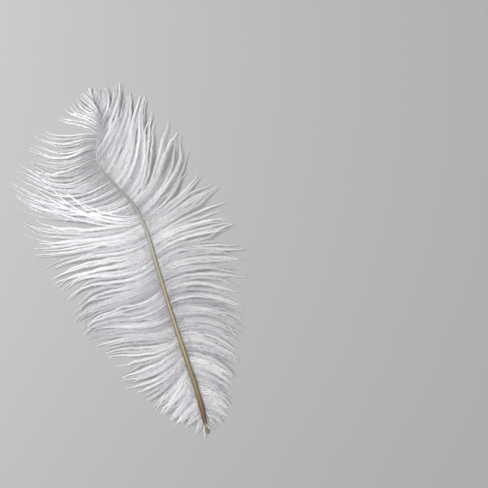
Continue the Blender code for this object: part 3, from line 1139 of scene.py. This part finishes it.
        # Painted shade by the shaft: a drop where the table lists it, and a small one at every barb's root.
        places, drops, ends = np.array(self.shaded_roots).T
        end = np.interp(distance, places, ends)[:, None]
        drop = np.interp(distance, places, drops)[:, None] * (1 - smoothstep((t / end - 0.6) / 0.4))
        root_drop, fade = self.root_shade
        return np.clip(own + size * np.sin(phase) - root_drop * np.exp(-t / fade) - drop, 0.0, 1.0)

    def with_strays(self, barbs: Barbs, chance: np.random.Generator) -> Barbs:
        """Add the single barbs that lie over the others.

        Args:
            barbs: The side's other barbs.
            chance: Picks their tones.

        Returns:
            All of them.
        """
        table = np.array(self.strays)
        count = len(table)
        flat = self.plan(table[:, 0], table[:, 1], table[:, 2:7])
        height = self.heights(table[:, 0], table[:, 7], 1.5 * table[:, 7] + self.rise)
        # Painted light on the strays, which lie over the others.
        tones = np.clip(self.tones(table[:, 0], chance) + self.stray_painted_light, 0.0, 1.0)
        lines = np.concatenate([flat, height[..., None]], axis=-1)
        added = (lines, tones, table[:, 1], np.zeros(count), np.full(count, self.stray_fluff))
        return Barbs(*(np.concatenate([old, new]) for old, new in zip(vars(barbs).values(), added)))

    def build(self, finish: bpy.types.Material, threads: Threads) -> list[bpy.types.Object]:
        """Make the side's pieces, with about the same length of barbs in each.

        Args:
            finish: The barbs' material.
            threads: Sizes of stems and barbules.

        Returns:
            The pieces, from the quill's end.
        """
        barbs = self.grow()
        chance = np.random.default_rng(self.seed + 100)
        share = np.cumsum(barbs.lengths) / barbs.lengths.sum()
        edges = [0, *np.searchsorted(share, np.arange(1, self.parts) / self.parts), len(share)]
        pieces = []
        for part, (first, last) in enumerate(zip(edges[:-1], edges[1:]), start=1):
            surface = threads.surface(barbs.picked(slice(first, last)), chance)
            name = f"vane_{self.side.name.lower()}_{part}"
            LOG.info("%s: %d barbs, %d triangles", name, last - first, len(surface.triangles))
            pieces.append(surface.to_object(name, finish, smooth=False))
        return pieces


@dataclass(frozen=True)
class SoftBox:
    """A square soft light, which points at the feather: its place and its side are in metres."""

    name: str
    place: tuple[float, float, float]
    side: float
    watts: float

    def hang(self) -> None:
        """Make the light and link it to the scene."""
        data = bpy.data.lights.new(self.name, "AREA")
        data.size = self.side
        data.energy = self.watts
        item = bpy.data.objects.new(self.name, data)
        item.location = self.place
        item.rotation_euler = (-Vector(self.place)).to_track_quat("-Z", "Y").to_euler()
        bpy.context.scene.collection.objects.link(item)


@dataclass
class Studio:
    """The pale table, soft light and the camera that looks straight down; sizes are in metres here."""

    table_half: float = 4.0
    table_cells: int = 8
    table_drop: float = 0.00002
    boxes: tuple[SoftBox, ...] = (
        SoftBox("key_box", (-0.80, 0.60, 1.05), 0.5, 31.0), SoftBox("fill_box", (0.9, -0.4, 1.3), 1.2, 8.0),
    )
    sky: str = "#EFEEEF"
    sky_strength: float = 0.42
    bounces: int = 24
    soft_bounces: int = 16
    aim: tuple[float, float, float] = (0.08426, -0.01214, 0.0)
    tilt_degrees: float = 18.5
    view_width: float = 0.4002
    lens: float = 85.0
    sensor: float = 36.0
    furthest_seen: float = 50.0

    def table(self, finish: PaintedTable) -> bpy.types.Object:
        """Lay the table top, a flat grid a hair under the feather.

        Args:
            finish: Its paint.

        Returns:
            The stage object.
        """
        corners = self.table_cells + 1
        reach = np.linspace(-self.table_half, self.table_half, corners) / MM
        x, y = np.meshgrid(reach, reach)
        points = np.stack([x.ravel(), y.ravel(), np.full(x.size, -self.table_drop / MM)], axis=-1)
        row = np.arange(self.table_cells)
        cell = (row[:, None] * corners + row[None, :]).ravel()
        across = cell + corners + 1
        triangles = np.concatenate([
            np.stack([cell, cell + 1, across], -1), np.stack([cell, across, cell + corners], -1),
        ])
        item = Surface(points, triangles, {}).to_object("table_top", finish.material(), smooth=False)
        return item

    def lights(self) -> None:
        """Hang the soft boxes and set the even light all round, with enough bounces for many threads."""
        for box in self.boxes:
            box.hang()
        world = bpy.data.worlds.new("studio")
        world.use_nodes = True
        back = world.node_tree.nodes["Background"]
        back.inputs["Color"].default_value = linear(self.sky)
        back.inputs["Strength"].default_value = self.sky_strength
        scene = bpy.context.scene
        scene.world = world
        scene.view_settings.view_transform = "Standard"
        scene.cycles.max_bounces = self.bounces
        scene.cycles.diffuse_bounces = self.soft_bounces
        scene.cycles.transmission_bounces = self.soft_bounces

    def camera(self) -> bpy.types.Object:
        """Set the camera over its aim, turned so that the feather leans as it does on the table.

        Returns:
            The camera object.
        """
        data = bpy.data.cameras.new("camera")
        data.lens = self.lens
        data.sensor_width = self.sensor
        data.clip_end = self.furthest_seen
        tilt = math.radians(self.tilt_degrees)
        up = Vector((math.sin(tilt), math.cos(tilt), 0.0))
        back = Vector((0.0, 0.0, 1.0))
        turn = Matrix((up.cross(back), up, back)).transposed().to_4x4()
        height = self.view_width * self.lens / self.sensor
        item = bpy.data.objects.new("camera", data)
        item.matrix_world = Matrix.Translation(Vector(self.aim) + back * height) @ turn
        bpy.context.scene.collection.objects.link(item)
        bpy.context.scene.camera = item
        return item


@dataclass
class LeftVane(Vane):
    """The left vane, with its fan of long barbs that cross the others and its downy foot."""

    side: Side = Side.LEFT
    seed: int = 11
    barbs: int = 184
    locks: int = 38
    guides: Rows = (
        (8, 8, 160, 158, 156, 154, 152), (12.6, 14, 159, 158, 156, 153, 148),
        (20.3, 19, 135, 119, 110, 108, 114), (29.7, 28, 134, 123, 118, 118, 122),
        (39.2, 34, 132, 131, 128, 125, 120), (49.5, 41, 130, 127, 123, 120, 117),
        (57.1, 45, 133, 127, 123, 120, 118), (62.3, 47, 131, 122, 113, 107, 102),
        (67.5, 55, 129, 112, 100, 91, 81), (73.6, 55, 125, 108, 93, 86, 89),
        (78.8, 54, 120, 104, 92, 85, 79), (84, 64, 121, 87, 74, 80, 100), (90.8, 68, 116, 75, 73, 84, 80),
        (98.7, 69, 114, 86, 75, 77, 86), (105.7, 74, 118, 86, 73, 79, 106),
        (116.1, 72, 123, 97, 78, 82, 122), (128, 79, 126, 96, 89, 97, 107),
        (136.7, 72, 120, 97, 83, 89, 123), (145.2, 81, 118, 91, 78, 87, 128),
        (153, 82, 121, 92, 78, 87, 123), (159.7, 85, 119, 86, 81, 87, 86),
        (165.8, 83, 110, 85, 77, 85, 106), (171.9, 88, 118, 82, 77, 87, 92), (177, 92, 116, 81, 79, 82, 56),
        (181.4, 96, 114, 83, 77, 76, 57), (185.7, 105, 116, 83, 75, 66, 29),
        (189.6, 103, 109, 82, 72, 61, 32), (194.7, 98, 105, 80, 70, 61, 39),
        (204.2, 93, 107, 84, 69, 55, 35), (216.7, 93, 107, 91, 68, 48, 44),
        (225.1, 82, 107, 96, 66, 44, 48), (232.5, 77, 111, 97, 64, 39, 39),
        (239.9, 71, 98, 103, 67, 34, 28), (244.9, 60, 85, 102, 82, 59, 62), (249.7, 57, 78, 99, 86, 61, 51),
        (254.2, 58, 69, 102, 83, 54, 55), (258.2, 53, 70, 92, 76, 52, 57), (261.4, 50, 52, 86, 82, 55, 22),
        (264.3, 44, 26, 77, 83, 66, 58), (266, 31, 15, 50, 68, 72, 66), (268.1, 39, 8, 49, 62, 56, 49),
        (270.7, 34, 19, 34, 55, 58, 23), (274.1, 32, 23, 39, 45, 32, -3), (277.9, 27, 18, 34, 40, 31, 8),
        (281.2, 24, 16, 25, 31, 32, 29), (285, 22, 18, 11, 17, 30, 44), (288.9, 16, 16, 12, 12, 17, 26),
        (294, 13, 18, 11, 3, -7, -18), (298.5, 8, 8, 5, 2, -2, -6),
    )
    partings: Rows = (
        (206.0, 1.0, 4.0), (228.0, 1.2, 3.0), (242.5, 1.6, 3.0), (251.0, 1.2, 2.5), (265.2, 2.4, 3.0),
    )
    slits: Rows = (
        (187.5, 0.62, 0.86, 1.0), (178.0, 0.55, 0.80, 0.5), (141.0, 0.50, 0.85, 1.8),
        (120.0, 0.30, 0.70, 1.8), (110.5, 0.55, 1.10, 2.2), (98.0, 0.45, 0.95, 1.8),
        (226.0, 0.35, 1.15, 2.6), (218.0, 0.50, 1.15, 2.4), (234.5, 0.40, 1.10, 2.0),
        (247.0, 0.40, 1.10, 2.0), (252.5, 0.45, 1.10, 1.8), (259.5, 0.50, 1.10, 1.8),
        (274.5, 0.55, 1.10, 1.5), (280.0, 0.50, 1.10, 1.3), (163.0, 0.78, 1.15, 2.2),
        (150.0, 0.72, 1.15, 2.4), (18.0, 0.30, 1.20, 2.4), (27.0, 0.45, 1.20, 2.0), (35.0, 0.40, 1.20, 2.0),
        (46.0, 0.55, 1.20, 1.4), (54.0, 0.60, 1.20, 1.0), (63.0, 0.60, 1.20, 1.5), (73.0, 0.70, 1.20, 1.0),
        (84.0, 0.70, 1.20, 1.4),
    )
    gathering: Rows = (
        (0, 0.85, 0.4), (30, 0.75, 0.45), (60, 0.5, 0.55), (90, 0.6, 0.65), (110, 0.85, 0.65),
        (150, 0.85, 0.7), (175, 0.5, 0.7), (195, 0.5, 0.65), (208, 0.8, 0.5), (240, 0.75, 0.55),
        (258, 0.6, 0.6), (266, 0.3, 0.5), (298, 0.2, 0.5),
    )
    fluff: Rows = (
        (0, 0.85), (50, 1.0), (80, 1.12), (185, 1.12), (206, 0.75), (240, 0.62), (262, 0.5), (298, 0.4),
    )
    crowding: Rows = (
        (0, 1.4), (60, 1.35), (90, 1.1), (200, 1.1), (240, 1.15), (262, 1.3), (272, 1.7), (298, 1.7),
    )
    # Painted shade on the barbs' roots beside the shaft, near the tip.
    shaded_roots: Rows = (
        (0, 0.0, 0.2), (222, 0.0, 0.2), (240, 0.35, 0.3), (262, 0.35, 0.3), (270, 0.2, 0.3),
        (298, 0.2, 0.3),
    )
    strays: Rows = (
        (185.0, 80, 98, 62, 46, 30, 9, 3.4), (184.1, 99, 99, 60, 46, 31, 1, 3.8),
        (182.6, 98, 96, 61, 51, 45, 27, 3.0), (185.9, 78, 92, 66, 58, 55, 56, 2.8),
        (181.3, 98, 96, 67, 57, 53, 48, 2.4), (187.4, 79, 90, 60, 49, 40, 19, 2.6),
        (186.4, 85, 94, 64, 60, 58, 42, 3.2), (10.5, 16, 158, 160, 163, 167, 172, 0.5),
    )


@dataclass
class RightVane(Vane):
    """The right vane, which sweeps towards the tip from about two thirds of the way up."""

    side: Side = Side.RIGHT
    seed: int = 23
    barbs: int = 172
    locks: int = 35
    guides: Rows = (
        (7.4, 5, 151, 155, 158, 162, 165), (10.7, 10, 150, 157, 162, 164, 165),
        (15.8, 16, 152, 143, 141, 147, 160), (21.7, 20, 146, 145, 142, 139, 136),
        (28.5, 27, 146, 145, 144, 142, 140), (36.2, 31, 130, 135, 139, 143, 146),
        (44.9, 34, 116, 126, 135, 144, 151), (53.6, 37, 109, 123, 135, 142, 146),
        (63.9, 41, 107, 123, 134, 141, 143), (72.6, 47, 91, 116, 129, 139, 151),
        (84.5, 51, 87, 110, 126, 137, 145), (96.4, 55, 84, 105, 120, 132, 139),
        (107.6, 60, 79, 100, 116, 128, 131), (119.5, 65, 76, 94, 110, 121, 125),
        (132.4, 69, 70, 91, 106, 114, 115), (144.4, 69, 67, 87, 101, 108, 108),
        (155.6, 68, 68, 83, 93, 98, 98), (166.7, 65, 71, 79, 84, 86, 85), (175.4, 62, 70, 75, 75, 72, 69),
        (181.7, 61, 70, 71, 63, 53, 50), (187.7, 68, 71, 63, 47, 36, 42), (193.7, 68, 73, 54, 37, 29, 36),
        (199.3, 75, 75, 45, 27, 25, 39), (205.7, 76, 70, 42, 26, 23, 33), (212.9, 77, 71, 40, 25, 24, 34),
        (219.9, 75, 70, 39, 26, 27, 34), (226.9, 72, 63, 42, 31, 28, 29), (233.3, 67, 52, 48, 37, 26, 23),
        (240.4, 61, 51, 50, 41, 30, 22), (248, 58, 46, 49, 41, 28, 22), (255.4, 51, 46, 46, 41, 27, 4),
        (262.8, 40, 39, 50, 43, 33, 37), (268.5, 37, 50, 51, 41, 28, 14), (274.9, 31, 50, 51, 42, 28, 14),
        (276.0, 30, 53, 52, 37, 15, -7), (277.1, 29, 53, 52, 37, 15, -7), (280.8, 24, 51, 46, 32, 18, 8),
        (284.3, 21, 47, 41, 31, 20, 10), (288, 17, 47, 38, 30, 22, 15), (291.9, 14, 40, 36, 32, 27, 22),
        (295.5, 10, 27, 32, 34, 35, 33), (298.5, 8, 14, 16, 17, 16, 14),
    )
    partings: Rows = ((182.0, 0.8, 6.0), (246.0, 1.2, 3.0), (275.4, 1.6, 2.5))
    slits: Rows = (
        (250.0, 0.40, 0.85, 2.4), (231.0, 0.35, 0.70, 2.2), (217.0, 0.45, 0.80, 2.0),
        (284.0, 0.50, 1.15, 1.2), (289.0, 0.45, 1.15, 1.0), (240.0, 0.75, 1.15, 1.8),
        (226.0, 0.80, 1.15, 1.8), (205.0, 0.55, 0.90, 1.6), (275.4, 0.05, 1.40, 1.6),
        (17.0, 0.40, 1.20, 2.0), (26.0, 0.45, 1.20, 2.4), (38.0, 0.50, 1.20, 2.4), (50.0, 0.55, 1.20, 2.6),
        (66.0, 0.60, 1.20, 2.4), (90.0, 0.65, 1.20, 2.2), (112.0, 0.70, 1.20, 2.2),
    )
    gathering: Rows = (
        (0, 0.85, 0.4), (60, 0.8, 0.45), (120, 0.9, 0.65), (180, 0.6, 0.7), (262, 0.6, 0.65),
        (274, 0.3, 0.6), (298, 0.15, 0.6),
    )
    fluff: Rows = (
        (0, 0.85), (50, 1.0), (80, 1.12), (170, 1.12), (190, 1.2), (235, 1.2), (255, 0.8), (266, 0.5),
        (276, 0.42), (298, 0.4),
    )
    crowding: Rows = (
        (0, 1.4), (60, 1.35), (90, 1.1), (180, 1.0), (240, 1.0), (270, 1.1), (278, 1.7), (298, 1.7),
    )
    # Painted shade on the barbs' roots beside the shaft, near the tip.
    shaded_roots: Rows = (
        (0, 0.0, 0.2), (242, 0.0, 0.3), (254, 0.5, 0.4), (266, 0.8, 0.6), (275, 0.8, 0.6), (276, 0.2, 0.4),
        (298, 0.2, 0.4),
    )
    strays: Rows = ((6.5, 9, 128, 132, 138, 146, 156, 0.6), (8.5, 8, 140, 146, 152, 158, 164, 0.4))


@dataclass
class Plume:
    """The whole feather: its shaft and both vanes."""

    shaft: Shaft = field(default_factory=Shaft)
    threads: Threads = field(default_factory=Threads)

    def build(self) -> list[bpy.types.Object]:
        """Make every piece, let it ride on the part and stand for the solid feather.

        Returns:
            The pieces.
        """
        shaft = self.shaft.build(HornKeratin())
        LOG.info("shaft: %d triangles", len(shaft.data.polygons))
        white = BleachedBarbKeratin().material()
        vanes = [
            piece for side in (LeftVane, RightVane) for piece in side(self.shaft).build(white, self.threads)
        ]
        for piece in (shaft, *vanes):
            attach(piece, "root")
            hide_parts("feather")
        return [shaft, *vanes]


def main() -> None:
    """Build the plume and the studio, and note the model's size."""
    logging.basicConfig(level=logging.INFO, format="%(name)s: %(message)s")
    pieces = Plume().build()
    triangles = sum(len(piece.data.polygons) for piece in pieces)
    LOG.info("%d pieces, %d triangles", len(pieces), triangles)
    studio = Studio()
    studio.table(PaintedTable())
    studio.lights()
    studio.camera()


if __name__ == "__main__":
    main()
